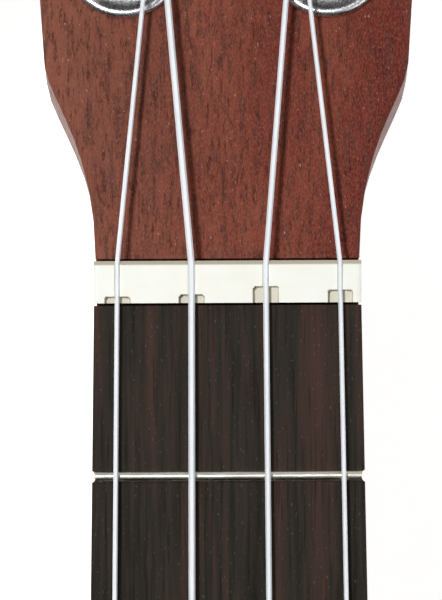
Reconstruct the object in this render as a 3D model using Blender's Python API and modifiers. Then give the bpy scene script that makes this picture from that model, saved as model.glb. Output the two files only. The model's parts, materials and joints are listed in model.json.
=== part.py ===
# Concert ukulele
# Metres, +Z up. It lies on its flat back with the strings up, its neck along +Y and
# its bass side at -X. The origin is under the middle of its length.
import math

import bmesh
import bpy
from mathutils import Matrix, Vector
from mathutils.geometry import interpolate_bezier

MODEL_NAME = "concert_ukulele"

# Clearance between pieces that are glued, pressed or laid on each other
GAP = 0.0003

# Scale and frets
SCALE_LENGTH = 0.381
BODY_JOIN_FRET = 14
FRET_COUNT = 16
FRET_CROWN_WIDTH = 0.00145
FRET_CROWN_HEIGHT = 0.0007
FRET_TANG_WIDTH = 0.0006
FRET_TANG_DEPTH = 0.0012
FRET_END_BEVEL = math.radians(32)

# Body outline, with each station measured along the body from its neck edge
BODY_LENGTH = 0.280
BODY_DEPTH = 0.063
NECK_FLAT_WIDTH = 0.044
UPPER_BOUT_WIDTH = 0.135
UPPER_BOUT_STATION = 0.052
WAIST_WIDTH = 0.110
WAIST_STATION = 0.108
LOWER_BOUT_WIDTH = 0.193
LOWER_BOUT_STATION = 0.192

# Body woodwork
SOUNDBOARD_THICKNESS = 0.0022
BACK_THICKNESS = 0.0024
SIDE_THICKNESS = 0.0022
LINING_WIDTH = 0.0040
LINING_HEIGHT = 0.0065
NECK_BLOCK_WIDTH = 0.044
NECK_BLOCK_LENGTH = 0.018
TAIL_BLOCK_WIDTH = 0.050
TAIL_BLOCK_LENGTH = 0.012
BRACE_WIDTH = 0.0060
BRACE_HEIGHT = 0.0080
BRACE_END_HEIGHT = 0.0025
BACK_BRACE_STATIONS = (0.075, 0.200)
SOUNDHOLE_RADIUS = 0.026
SOUNDHOLE_STATION = 0.087
SOUNDHOLE_TO_BRACE = 0.012
BRIDGE_PLATE_WIDTH = 0.088
BRIDGE_PLATE_LENGTH = 0.030
BRIDGE_PLATE_THICKNESS = 0.0018

# Bridge and saddle
BRIDGE_WIDTH = 0.080
BRIDGE_CORE_WIDTH = 0.060
BRIDGE_LENGTH = 0.019
BRIDGE_HEIGHT = 0.0072
BRIDGE_WING_HEIGHT = 0.0026
SADDLE_WIDTH = 0.052
SADDLE_THICKNESS = 0.0026
SADDLE_SLOT_DEPTH = 0.0042
SADDLE_TO_BRIDGE_FRONT = 0.0052
STRING_SLOT_LENGTH = 0.0065
KNOT_RADIUS = 0.00095
KNOT_LENGTH = 0.0020

# Neck, fingerboard and nut
NUT_WIDTH = 0.0330
NUT_LENGTH = 0.0052
NUT_ABOVE_BOARD = 0.0015
NUT_REAR_CHAMFER = 0.00045
NUT_POCKET_WIDTH = 0.0031
NUT_POCKET_DEPTH = 0.0012
NUT_POCKET_LENGTHS = (0.00077, 0.00098, 0.00198, 0.00148)
FINGERBOARD_THICKNESS = 0.0047
FINGERBOARD_TAPER = 0.0313
FINGERBOARD_PAST_LAST_FRET = 0.0060
NECK_DEPTH_AT_NUT = 0.0125
NECK_DEPTH_AT_BODY = 0.0150
HEEL_LENGTH = 0.046
HEEL_FOOT_LENGTH = 0.010

# Head, with each station measured along its face from the nut
HEAD_ANGLE = math.radians(12)
HEAD_LENGTH = 0.0970
HEAD_THICKNESS = 0.0130
HEAD_BELOW_BOARD = 0.0030
HEAD_EDGE_ROUND = 0.0006
HEAD_BACK_ROUND = 0.0022
HEAD_ROOT_WIDTH = 0.03276
HEAD_ROOT_SWEEP = 0.0149
HEAD_SHOULDER_WIDTH = 0.04552
HEAD_SHOULDER_STATION = 0.02515
HEAD_SHOULDER_SWEEP = 0.0045
HEAD_FLARE = 0.069
HEAD_CROWN_RISE = 0.0085
HEAD_CROWN_CORNER = 0.0075

# Strings, from bass side to treble side
STRING_NAMES = ("g", "c", "e", "a")
STRING_DIAMETERS = (0.00058, 0.00082, 0.00071, 0.000565)
STRING_SPACING_AT_NUT = 0.00915
STRING_SPACING_AT_SADDLE = 0.01253
STRING_SHIFT_AT_NUT = 0.00014
STRING_SHIFT_AT_SADDLE = 0.00045
STRING_ABOVE_BOARD_AT_NUT = 0.0012
STRING_ABOVE_BOARD_AT_SADDLE = 0.0052
FULL_WINDINGS = 2
WINDING_RISE_TO_HOLE = 0.0012
POINTS_PER_WINDING = 24
STRING_TAIL = 0.0022

# Tuning machines
LOWER_POST_SPREAD = 0.0255
LOWER_POST_STATION = 0.0381
UPPER_POST_SPREAD = 0.0279
UPPER_POST_STATION = 0.0741
POST_RADIUS = 0.0024
POST_SHANK_RADIUS = 0.0029
POST_HOLE_RADIUS = 0.00085
POST_HOLE_HEIGHT = 0.0092
POST_TIP_ABOVE_HOLE = 0.0024
POST_TIP_ROUND = 0.0009
POST_TIP_CROWN = 0.0001
POST_TIP_DROP = 0.0008
POST_SHOULDER_SUNK = 0.0002
POST_SHOULDER_SLOPE = 0.0003
POST_COLLAR_WIDTH = 0.0009
WHEEL_SCREW_EDGE = 0.0009
WHEEL_SCREW_HEIGHT = 0.0014
WHEEL_SCREW_ROUND = 0.0007
POST_HOLE_HEADING = math.radians(118)
WASHER_RADIUS = 0.0070
WASHER_THICKNESS = 0.0008
WASHER_DISH_DEPTH = 0.0004
WASHER_DISH_SLOPE = 0.0009
WASHER_EDGE_BEVEL = 0.0005
BUSHING_BARREL_RADIUS = 0.0042
BUSHING_BARREL_DEPTH = 0.0080
HEX_ACROSS_FLATS = 0.0102
HEX_HEIGHT = 0.0020
PLATE_THICKNESS = 0.0012
PLATE_WIDTH = 0.0124
PLATE_BELOW_POST = 0.0112
PLATE_PAST_WORM = 0.0092
PLATE_SCREW_RADIUS = 0.0011
PLATE_SCREW_INSET = 0.0026
LUG_THICKNESS = 0.0012
LUG_ROUND = 0.0032
WHEEL_TEETH = 14
WHEEL_WIDTH = 0.0040
GEAR_MODULE = 0.0008
TOOTH_ADDENDUM = 0.00072
TOOTH_DEDENDUM = 0.00098
TOOTH_TIP_WIDTH = 0.00056
TOOTH_ROOT_WIDTH = 0.00100
WORM_PITCH_RADIUS = 0.0030
WORM_TURNS = 3
WORM_CREST_WIDTH = 0.00042
WORM_BASE_WIDTH = 0.00105
THREAD_SUNK = 0.0003
KNOB_SHAFT_RADIUS = 0.0015
KNOB_START = 0.0285
KNOB_LENGTH = 0.0155
KNOB_WIDTH = 0.0135
KNOB_NECK_WIDTH = 0.0075
KNOB_THICKNESS = 0.0070
KNOB_EDGE_ROUND = 0.0015

# Facets
SOUNDHOLE_FACETS = 36
BORE_FACETS = 12
TURNED_FACETS = 16
WASHER_FACETS = 22

# Places that follow from the sizes, along the instrument
NECK_LENGTH = SCALE_LENGTH * (1 - 2 ** (-BODY_JOIN_FRET / 12))
NUT_TO_HEAD = NUT_LENGTH + GAP
TOTAL_LENGTH = (
    BODY_LENGTH + NECK_LENGTH + NUT_TO_HEAD + HEAD_LENGTH * math.cos(HEAD_ANGLE)
)
TAIL_Y = -TOTAL_LENGTH / 2
BODY_TOP_Y = TAIL_Y + BODY_LENGTH
NUT_Y = BODY_TOP_Y + NECK_LENGTH
HEAD_Y = NUT_Y + NUT_TO_HEAD
SADDLE_Y = NUT_Y - SCALE_LENGTH

# Heights that follow from the sizes
SOUNDBOARD_TOP_Z = BODY_DEPTH
BOARD_BOTTOM_Z = BODY_DEPTH + GAP
BOARD_TOP_Z = BOARD_BOTTOM_Z + FINGERBOARD_THICKNESS
HEAD_FACE_Z = BOARD_TOP_Z - HEAD_BELOW_BOARD
HEX_TOP = GAP + WASHER_THICKNESS + GAP + HEX_HEIGHT

# Gears
WHEEL_PITCH_RADIUS = GEAR_MODULE * WHEEL_TEETH / 2
WORM_LEAD = math.pi * GEAR_MODULE
WORM_OUTER_RADIUS = WORM_PITCH_RADIUS + TOOTH_ADDENDUM
WORM_ROOT_RADIUS = WORM_PITCH_RADIUS - TOOTH_DEDENDUM
GEAR_DISTANCE = WHEEL_PITCH_RADIUS + WORM_PITCH_RADIUS
WORM_HALF_LENGTH = WORM_LEAD * WORM_TURNS / 2 + WORM_BASE_WIDTH / 2
PLATE_TOP = -HEAD_THICKNESS - GAP
PLATE_BOTTOM = PLATE_TOP - PLATE_THICKNESS
WORM_AXIS = PLATE_BOTTOM - GAP - WORM_OUTER_RADIUS

FINISHES = {
    "mahogany": ((0.20, 0.055, 0.035), 0.45, 0.0),
    "dark_wood": ((0.040, 0.033, 0.026), 0.60, 0.0),
    "light_wood": ((0.55, 0.38, 0.20), 0.65, 0.0),
    "cream": ((0.87, 0.85, 0.76), 0.35, 0.0),
    "nylon": ((0.80, 0.83, 0.82), 0.25, 0.0),
    "nickel_silver": ((0.75, 0.72, 0.62), 0.30, 1.0),
    "chrome": ((0.80, 0.80, 0.80), 0.12, 1.0),
}


# Scene and object helpers


def new_collection(name):
    collection = bpy.data.collections.new(name)
    bpy.context.scene.collection.children.link(collection)
    return collection


def finish_material(name, finish):
    colour, roughness, metallic = FINISHES[finish]
    material = bpy.data.materials.new(name)
    material.use_nodes = True
    shader = material.node_tree.nodes["Principled BSDF"]
    shader.inputs["Base Color"].default_value = (*colour, 1.0)
    shader.inputs["Roughness"].default_value = roughness
    shader.inputs["Metallic"].default_value = metallic
    material.diffuse_color = (*colour, 1.0)
    return material


def place(name, data, finish=None, parent=None, location=(0, 0, 0), rotation=(0, 0, 0)):
    """Adds a piece of the model, or a cutter where it has no finish."""
    piece = bpy.data.objects.new(name, data)
    piece.location = location
    piece.rotation_euler = rotation
    piece.parent = parent
    if finish:
        PARTS.objects.link(piece)
        data.materials.append(finish_material(name, finish))
    else:
        CUTTERS.objects.link(piece)
        piece.hide_render = True
        piece.display_type = "WIRE"
    return piece


def add_empty(name, parent=None, location=(0, 0, 0), rotation=(0, 0, 0)):
    empty = bpy.data.objects.new(name, None)
    empty.empty_display_size = 0.01
    empty.location = location
    empty.rotation_euler = rotation
    empty.parent = parent
    PARTS.objects.link(empty)
    return empty


def outline_curve(name, outlines, thickness, rounding=0.0):
    """A flat plate from closed outlines in XY, centred on Z. Inner outlines are holes."""
    curve = bpy.data.curves.new(name, "CURVE")
    curve.dimensions = "2D"
    curve.fill_mode = "BOTH"
    curve.extrude = thickness / 2 - rounding
    curve.bevel_depth = rounding
    curve.bevel_resolution = 1
    for outline in outlines:
        spline = curve.splines.new("POLY")
        spline.points.add(len(outline) - 1)
        for point, (x, y) in zip(spline.points, outline):
            point.co = (x, y, 0, 1)
        spline.use_cyclic_u = True
    return curve


def mesh_of(curve):
    """The curve as a closed mesh, with its caps welded on."""
    guide = bpy.data.objects.new(curve.name, curve)
    CUTTERS.objects.link(guide)
    graph = bpy.context.evaluated_depsgraph_get()
    mesh = bpy.data.meshes.new_from_object(guide.evaluated_get(graph))
    bpy.data.objects.remove(guide)
    bpy.data.curves.remove(curve)
    shape = bmesh.new()
    shape.from_mesh(mesh)
    bmesh.ops.remove_doubles(shape, verts=shape.verts, dist=1e-6)
    bmesh.ops.recalc_face_normals(shape, faces=shape.faces)
    shape.to_mesh(mesh)
    shape.free()
    return mesh


def plate_mesh(name, outlines, thickness, rounding=0.0):
    return mesh_of(outline_curve(name, outlines, thickness, rounding))


def box_mesh(name, low, high):
    shape = bmesh.new()
    bmesh.ops.create_cube(shape, size=1.0)
    for vert in shape.verts:
        for axis in range(3):
            middle = (low[axis] + high[axis]) / 2
            vert.co[axis] = middle + vert.co[axis] * (high[axis] - low[axis])
    mesh = bpy.data.meshes.new(name)
    shape.to_mesh(mesh)
    shape.free()
    return mesh


def cylinder_mesh(name, radius, low, high, facets=BORE_FACETS, axis="Z"):
    """A cylinder along an axis through the origin, from low to high along it."""
    shape = bmesh.new()
    turn = {
        "Z": Matrix.Identity(4),
        "X": Matrix.Rotation(math.pi / 2, 4, "Y"),
        "Y": Matrix.Rotation(-math.pi / 2, 4, "X"),
    }[axis]
    shift = Matrix.Translation((0, 0, (low + high) / 2))
    bmesh.ops.create_cone(
        shape,
        cap_ends=True,
        segments=facets,
        radius1=radius,
        radius2=radius,
        depth=high - low,
        matrix=turn @ shift,
    )
    mesh = bpy.data.meshes.new(name)
    shape.to_mesh(mesh)
    shape.free()
    return mesh


def loft_mesh(name, rings):
    """A closed skin over rings of equal length, with a flat cap on the first and last."""
    shape = bmesh.new()
    rows = [[shape.verts.new(point) for point in ring] for ring in rings]
    count = len(rows[0])
    for row, following in zip(rows, rows[1:]):
        for i in range(count):
            j = (i + 1) % count
            shape.faces.new((row[i], row[j], following[j], following[i]))
    shape.faces.new(rows[0])
    shape.faces.new(rows[-1])
    bmesh.ops.recalc_face_normals(shape, faces=shape.faces)
    mesh = bpy.data.meshes.new(name)
    shape.to_mesh(mesh)
    shape.free()
    return mesh


def turned_mesh_modifier(piece, facets):
    """Turns the piece's profile of edges about Z into a closed solid."""
    screw = piece.modifiers.new("turn", "SCREW")
    screw.axis = "Z"
    screw.steps = facets
    screw.render_steps = facets
    screw.use_merge_vertices = True
    screw.merge_threshold = 0.00001
    screw.use_smooth_shade = True


def profile_mesh(name, profile, closed=False):
    """A mesh of edges through (radius, height) points, listed down the outer side."""
    mesh = bpy.data.meshes.new(name)
    count = len(profile)
    edges = [(i, i + 1) for i in range(count - 1)]
    if closed:
        edges.append((count - 1, 0))
    mesh.from_pydata([(radius, 0, height) for radius, height in profile], edges, [])
    return mesh


def combine(piece, other, operation="DIFFERENCE"):
    """Cuts a helper from the piece, or joins it to the piece."""
    boolean = piece.modifiers.new(other.name, "BOOLEAN")
    boolean.operation = operation
    boolean.object = other
    boolean.solver = "EXACT"


def smooth(piece, angle=math.radians(32)):
    piece.data.shade_smooth()
    piece.data.set_sharp_from_angle(angle=angle)


def round_outline(radius, facets, centre=(0, 0)):
    """A circle whose flats, not its corners, lie at the radius, so that a bore clears."""
    reach = radius / math.cos(math.pi / facets)
    angles = [2 * math.pi * (i + 0.5) / facets for i in range(facets)]
    return [
        (centre[0] + reach * math.cos(a), centre[1] + reach * math.sin(a))
        for a in angles
    ]


def arc(centre, radius, start, end, steps):
    """Points along an arc in a plane, angles in degrees."""
    angles = [math.radians(start + (end - start) * i / steps) for i in range(steps + 1)]
    return [
        (centre[0] + radius * math.cos(a), centre[1] + radius * math.sin(a))
        for a in angles
    ]


def ease(value):
    """Rises smoothly from 0 to 1 as the value does, and stays there outside."""
    value = min(max(value, 0.0), 1.0)
    return value * value * (3 - 2 * value)


# Body outline


def half_outline(inset=0.0):
    """The treble half of the body, from neck edge to tail, as (x, station) points."""
    flat = NECK_FLAT_WIDTH / 2
    upper = UPPER_BOUT_WIDTH / 2
    waist = WAIST_WIDTH / 2
    lower = LOWER_BOUT_WIDTH / 2
    to_waist = WAIST_STATION - UPPER_BOUT_STATION
    to_lower = LOWER_BOUT_STATION - WAIST_STATION
    to_tail = BODY_LENGTH - LOWER_BOUT_STATION
    # Each span is its start, its two handles, its end and its number of steps.
    spans = (
        (
            (flat, 0),
            (flat + 0.60 * (upper - flat), 0),
            (upper, 0.45 * UPPER_BOUT_STATION),
            (upper, UPPER_BOUT_STATION),
            8,
        ),
        (
            (upper, UPPER_BOUT_STATION),
            (upper, UPPER_BOUT_STATION + 0.45 * to_waist),
            (waist, WAIST_STATION - 0.40 * to_waist),
            (waist, WAIST_STATION),
            6,
        ),
        (
            (waist, WAIST_STATION),
            (waist, WAIST_STATION + 0.42 * to_lower),
            (lower, LOWER_BOUT_STATION - 0.52 * to_lower),
            (lower, LOWER_BOUT_STATION),
            9,
        ),
        (
            (lower, LOWER_BOUT_STATION),
            (lower, LOWER_BOUT_STATION + 0.58 * to_tail),
            (0.58 * lower, BODY_LENGTH),
            (0, BODY_LENGTH),
            13,
        ),
    )
    path = [Vector((0, 0))]
    for start, leave, arrive, end, steps in spans:
        points = interpolate_bezier(
            Vector(start), Vector(leave), Vector(arrive), Vector(end), steps + 1
        )
        path.extend(points if len(path) == 1 else points[1:])
    inward = []
    for i, point in enumerate(path):
        before = path[max(i - 1, 0)]
        after = path[min(i + 1, len(path) - 1)]
        along = (after - before).normalized()
        normal = Vector((-along.y, along.x))
        if i in (0, 1):
            normal = Vector((0, 1))
        if i == len(path) - 1:
            normal = Vector((0, -1))
        inward.append(point + normal * inset)
    return [(point.x, point.y) for point in inward]


def body_y(station):
    return BODY_TOP_Y - station


def between(path, low_x, near_neck):
    """The run of a half outline that lies past low_x at its neck or tail end."""
    half = len(path) // 2
    kept = []
    for i, (x, station) in enumerate(path):
        at_neck = i < half
        if x >= low_x or at_neck != near_neck:
            kept.append((x, station))
            continue
        following = path[i + 1] if at_neck else path[i - 1]
        if following[0] > low_x:
            share = (low_x - x) / (following[0] - x)
            kept.append((low_x, station + share * (following[1] - station)))
    return kept


def half_width_at(station, inset=0.0):
    path = half_outline(inset)
    for (x1, s1), (x2, s2) in zip(path[1:], path[2:]):
        if s1 <= station <= s2:
            return x1 + (x2 - x1) * (station - s1) / (s2 - s1)
    return min(x for x, s in path if s > 0.3 * BODY_LENGTH)


def ribbon(outer_inset, inner_inset, neck_x, tail_x, side):
    """A strip that follows the body outline, from neck_x off the centre line round to
    tail_x off it, on one side."""
    outer = between(between(half_outline(outer_inset), neck_x, True), tail_x, False)
    inner = between(between(half_outline(inner_inset), neck_x, True), tail_x, False)
    return [(side * x, body_y(s)) for x, s in outer + inner[::-1]]


def whole_outline(inset=0.0):
    path = half_outline(inset)
    right = [(x, body_y(s)) for x, s in path]
    left = [(-x, y) for x, y in right[-2:0:-1]]
    return right + left


# Body


def build_plates():
    hole = round_outline(
        SOUNDHOLE_RADIUS, SOUNDHOLE_FACETS, (0, body_y(SOUNDHOLE_STATION))
    )
    soundboard = outline_curve(
        "soundboard", [whole_outline(), hole], SOUNDBOARD_THICKNESS
    )
    place(
        "soundboard",
        soundboard,
        "mahogany",
        location=(0, 0, SOUNDBOARD_TOP_Z - SOUNDBOARD_THICKNESS / 2),
    )
    back = outline_curve("back", [whole_outline()], BACK_THICKNESS)
    place("back", back, "mahogany", location=(0, 0, BACK_THICKNESS / 2))


def build_sides():
    low = BACK_THICKNESS + GAP
    high = SOUNDBOARD_TOP_Z - SOUNDBOARD_THICKNESS - GAP
    for name, side in (("side_bass", -1), ("side_treble", 1)):
        outline = ribbon(0, SIDE_THICKNESS, GAP / 2, GAP / 2, side)
        curve = outline_curve(name, [outline], high - low)
        place(name, curve, "mahogany", location=(0, 0, (low + high) / 2))


def build_linings():
    outer = SIDE_THICKNESS + GAP
    neck_x = NECK_BLOCK_WIDTH / 2 + GAP
    tail_x = TAIL_BLOCK_WIDTH / 2 + GAP
    top_z = SOUNDBOARD_TOP_Z - SOUNDBOARD_THICKNESS - GAP - LINING_HEIGHT / 2
    back_z = BACK_THICKNESS + GAP + LINING_HEIGHT / 2
    for level, z in (("top", top_z), ("back", back_z)):
        for hand, side in (("bass", -1), ("treble", 1)):
            name = f"lining_{level}_{hand}"
            outline = ribbon(outer, outer + LINING_WIDTH, neck_x, tail_x, side)
            curve = outline_curve(name, [outline], LINING_HEIGHT)
            place(name, curve, "light_wood", location=(0, 0, z))


def build_blocks():
    low = BACK_THICKNESS + GAP
    high = SOUNDBOARD_TOP_Z - SOUNDBOARD_THICKNESS - GAP
    inner = SIDE_THICKNESS + GAP
    half_neck = NECK_BLOCK_WIDTH / 2
    curved = [p for p in half_outline(inner) if p[0] < half_neck and p[1] < 0.02]
    edge_station = curved[-1][1]
    outline = [(x, body_y(s)) for x, s in curved]
    outline.append((half_neck, body_y(edge_station)))
    outline.append((half_neck, body_y(inner + NECK_BLOCK_LENGTH)))
    mirrored = [(-x, y) for x, y in outline[::-1] if x > 0]
    neck_block = outline_curve("neck_block", [outline + mirrored], high - low)
    place("neck_block", neck_block, "light_wood", location=(0, 0, (low + high) / 2))
    half_tail = TAIL_BLOCK_WIDTH / 2
    path = between(half_outline(inner), 0, True)
    curved = [p for p in path if p[0] < half_tail and p[1] > BODY_LENGTH / 2]
    outer = [p for p in path if p[0] >= half_tail][-1]
    share = (half_tail - curved[0][0]) / (outer[0] - curved[0][0])
    corner = curved[0][1] + share * (outer[1] - curved[0][1])
    outline = [(half_tail, body_y(BODY_LENGTH - inner - TAIL_BLOCK_LENGTH))]
    outline.append((half_tail, body_y(corner)))
    outline += [(x, body_y(s)) for x, s in curved]
    mirrored = [(-x, y) for x, y in outline[::-1] if x > 0]
    tail_block = outline_curve("tail_block", [outline + mirrored], high - low)
    place("tail_block", tail_block, "light_wood", location=(0, 0, (low + high) / 2))


def brace_outline(half_length):
    """A bar seen from the front, cut down in a sweep at both ends, glue face at y = 0."""
    sweep = min(0.018, half_length / 2)
    rise = BRACE_HEIGHT - BRACE_END_HEIGHT
    ends = [
        (half_length - sweep * i / 4, BRACE_END_HEIGHT + rise * ease(i / 4))
        for i in range(5)
    ]
    right = [(half_length, 0)] + ends
    return right + [(-x, y) for x, y in right[::-1]]


def build_braces():
    inset = SIDE_THICKNESS + GAP + LINING_WIDTH + GAP
    hole = SOUNDHOLE_STATION
    reach = SOUNDHOLE_RADIUS + SOUNDHOLE_TO_BRACE
    top_z = SOUNDBOARD_TOP_Z - SOUNDBOARD_THICKNESS - GAP
    back_z = BACK_THICKNESS + GAP
    braces = (
        ("top_brace_upper", hole - reach, top_z, -1),
        ("top_brace_lower", hole + reach, top_z, -1),
        ("back_brace_upper", BACK_BRACE_STATIONS[0], back_z, 1),
        ("back_brace_lower", BACK_BRACE_STATIONS[1], back_z, 1),
    )
    for name, station, glue_z, up in braces:
        edges = (station - BRACE_WIDTH / 2, station + BRACE_WIDTH / 2)
        half_length = min(half_width_at(s, inset) for s in edges) - GAP
        curve = outline_curve(name, [brace_outline(half_length)], BRACE_WIDTH)
        place(
            name,
            curve,
            "light_wood",
            location=(0, body_y(station), glue_z),
            rotation=(up * math.pi / 2, 0, 0),
        )
    low = top_z - BRIDGE_PLATE_THICKNESS
    half = BRIDGE_PLATE_WIDTH / 2
    middle = BRIDGE_FRONT_Y - BRIDGE_LENGTH / 2
    mesh = box_mesh(
        "bridge_plate",
        (-half, middle - BRIDGE_PLATE_LENGTH / 2, low),
        (half, middle + BRIDGE_PLATE_LENGTH / 2, top_z),
    )
    place("bridge_plate", mesh, "light_wood")


# Bridge and saddle

BRIDGE_FRONT_Y = SADDLE_Y + SADDLE_THICKNESS / 2 + SADDLE_TO_BRIDGE_FRONT
BRIDGE_REAR_Y = BRIDGE_FRONT_Y - BRIDGE_LENGTH
BRIDGE_BOTTOM_Z = SOUNDBOARD_TOP_Z + GAP
BRIDGE_TOP_Z = BRIDGE_BOTTOM_Z + BRIDGE_HEIGHT
SADDLE_TOP_Z = BOARD_TOP_Z + STRING_ABOVE_BOARD_AT_SADDLE - GAP
KNOT_RECESS = KNOT_RADIUS + GAP


def build_bridge():
    half = BRIDGE_WIDTH / 2
    core = BRIDGE_CORE_WIDTH / 2
    rise = BRIDGE_HEIGHT - BRIDGE_WING_HEIGHT
    wing = [
        (core + (half - core) * (1 - i / 5), BRIDGE_WING_HEIGHT + rise * ease(i / 5))
        for i in range(6)
    ]
    right = [(half, 0)] + wing
    outline = right + [(-x, y) for x, y in right[::-1]]
    bridge = place(
        "bridge",
        plate_mesh("bridge", [outline], BRIDGE_LENGTH),
        "dark_wood",
        location=(0, BRIDGE_FRONT_Y - BRIDGE_LENGTH / 2, BRIDGE_BOTTOM_Z),
        rotation=(math.pi / 2, 0, 0),
    )
    slot_half = SADDLE_WIDTH / 2 + GAP
    slot_reach = SADDLE_THICKNESS / 2 + GAP
    saddle_slot = place(
        "saddle_slot",
        box_mesh(
            "saddle_slot",
            (-slot_half, SADDLE_Y - slot_reach, BRIDGE_TOP_Z - SADDLE_SLOT_DEPTH),
            (slot_half, SADDLE_Y + slot_reach, BRIDGE_TOP_Z + BRIDGE_HEIGHT),
        ),
    )
    combine(bridge, saddle_slot)
    outside = BRIDGE_REAR_Y - BRIDGE_LENGTH
    for name, x, diameter in zip(STRING_NAMES, SADDLE_XS, STRING_DIAMETERS):
        reach = diameter / 2 + GAP
        slot = box_mesh(
            f"string_slot_{name}",
            (x - reach, outside, BRIDGE_BOTTOM_Z - BRIDGE_HEIGHT),
            (x + reach, BRIDGE_REAR_Y + STRING_SLOT_LENGTH, BRIDGE_TOP_Z + BRIDGE_HEIGHT),
        )
        combine(bridge, place(f"string_slot_{name}", slot))
        recess = box_mesh(
            f"knot_recess_{name}",
            (x - KNOT_RECESS, outside, BRIDGE_BOTTOM_Z - BRIDGE_HEIGHT),
            (
                x + KNOT_RECESS,
                BRIDGE_REAR_Y + STRING_SLOT_LENGTH,
                BRIDGE_BOTTOM_Z + KNOT_LENGTH + 3 * GAP,
            ),
        )
        combine(bridge, place(f"knot_recess_{name}", recess))


def build_saddle():
    low = BRIDGE_TOP_Z - SADDLE_SLOT_DEPTH + GAP
    half = SADDLE_THICKNESS / 2
    crown = arc((0, SADDLE_TOP_Z - half), half, 0, 180, 6)
    outline = [(half, low)] + crown + [(-half, low)]
    curve = outline_curve("saddle", [outline], SADDLE_WIDTH)
    # Turned so that the outline's x runs along the neck and its y stands up.
    place(
        "saddle",
        curve,
        "cream",
        location=(0, SADDLE_Y, 0),
        rotation=(math.pi / 2, 0, math.pi / 2),
    )


# Fingerboard, frets and nut


def fret_y(number):
    return NUT_Y - SCALE_LENGTH * (1 - 2 ** (-number / 12))


def board_half_width(y):
    return (NUT_WIDTH + FINGERBOARD_TAPER * (NUT_Y - y)) / 2


def turned_upright(mesh, half_width):
    """Stands a plate's outline up along Y and Z, and spreads it to half_width(y)."""
    for vert in mesh.vertices:
        along, up, across = vert.co
        vert.co = (math.copysign(half_width(along), across), along, up)
    return mesh


def build_fingerboard():
    end_y = fret_y(FRET_COUNT) - FINGERBOARD_PAST_LAST_FRET
    slot_half = FRET_TANG_WIDTH / 2 + GAP
    slot_z = BOARD_TOP_Z - FRET_TANG_DEPTH
    outline = [(end_y, BOARD_BOTTOM_Z), (NUT_Y - GAP, BOARD_BOTTOM_Z)]
    outline.append((NUT_Y - GAP, BOARD_TOP_Z))
    for number in range(1, FRET_COUNT + 1):
        y = fret_y(number)
        outline.append((y + slot_half, BOARD_TOP_Z))
        outline.append((y + slot_half, slot_z))
        outline.append((y - slot_half, slot_z))
        outline.append((y - slot_half, BOARD_TOP_Z))
    outline.append((end_y, BOARD_TOP_Z))
    mesh = plate_mesh("fingerboard", [outline], FINGERBOARD_THICKNESS)
    place("fingerboard", turned_upright(mesh, board_half_width), "dark_wood")


def build_frets():
    tang = FRET_TANG_WIDTH / 2
    half = FRET_CROWN_WIDTH / 2
    seat = BOARD_TOP_Z + GAP
    foot = BOARD_TOP_Z - FRET_TANG_DEPTH + GAP
    crown = [
        (half * math.cos(a), FRET_CROWN_HEIGHT * math.sin(a))
        for a in (math.pi * i / 5 for i in range(6))
    ]
    for number in range(1, FRET_COUNT + 1):
        y = fret_y(number)
        outline = [(y - tang, foot), (y + tang, foot), (y + tang, seat)]
        outline += [(y + dy, seat + dz) for dy, dz in crown]
        outline.append((y - tang, seat))
        name = f"fret_{number:02d}"
        mesh = turned_upright(
            plate_mesh(name, [outline], FRET_CROWN_WIDTH), board_half_width
        )
        for vert in mesh.vertices:
            above = max(vert.co.z - seat, 0)
            vert.co.x -= math.copysign(above * math.tan(FRET_END_BEVEL), vert.co.x)
        place(name, mesh, "nickel_silver")


def string_xs(spacing, shift):
    middle = (len(STRING_NAMES) - 1) / 2
    return [shift + (i - middle) * spacing for i in range(len(STRING_NAMES))]


NUT_XS = string_xs(STRING_SPACING_AT_NUT, STRING_SHIFT_AT_NUT)
SADDLE_XS = string_xs(STRING_SPACING_AT_SADDLE, STRING_SHIFT_AT_SADDLE)
NUT_TOP_Z = BOARD_TOP_Z + NUT_ABOVE_BOARD


def build_nut():
    rear = NUT_Y + NUT_LENGTH
    outline = [
        (NUT_Y, BOARD_BOTTOM_Z),
        (rear, BOARD_BOTTOM_Z),
        (rear, NUT_TOP_Z - 2 * NUT_REAR_CHAMFER),
        (rear - NUT_REAR_CHAMFER, NUT_TOP_Z),
        (NUT_Y, NUT_TOP_Z),
    ]
    mesh = plate_mesh("nut", [outline], NUT_LENGTH)
    nut = place("nut", turned_upright(mesh, lambda y: NUT_WIDTH / 2), "cream")
    above = NUT_TOP_Z + NUT_LENGTH
    strings = zip(STRING_NAMES, NUT_XS, STRING_DIAMETERS, NUT_POCKET_LENGTHS)
    for name, x, diameter, pocket_length in strings:
        reach = diameter / 2 + GAP
        floor = BOARD_TOP_Z + STRING_ABOVE_BOARD_AT_NUT - GAP
        slot = box_mesh(
            f"nut_slot_{name}",
            (x - reach, NUT_Y - NUT_LENGTH, floor),
            (x + reach, rear + NUT_LENGTH, above),
        )
        combine(nut, place(f"nut_slot_{name}", slot))
        half = NUT_POCKET_WIDTH / 2
        pocket = box_mesh(
            f"nut_pocket_{name}",
            (x - half, NUT_Y - NUT_LENGTH, NUT_TOP_Z - NUT_POCKET_DEPTH),
            (x + half, NUT_Y + pocket_length, above),
        )
        combine(nut, place(f"nut_pocket_{name}", pocket))


# Neck, heel and head in one piece of wood


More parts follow.
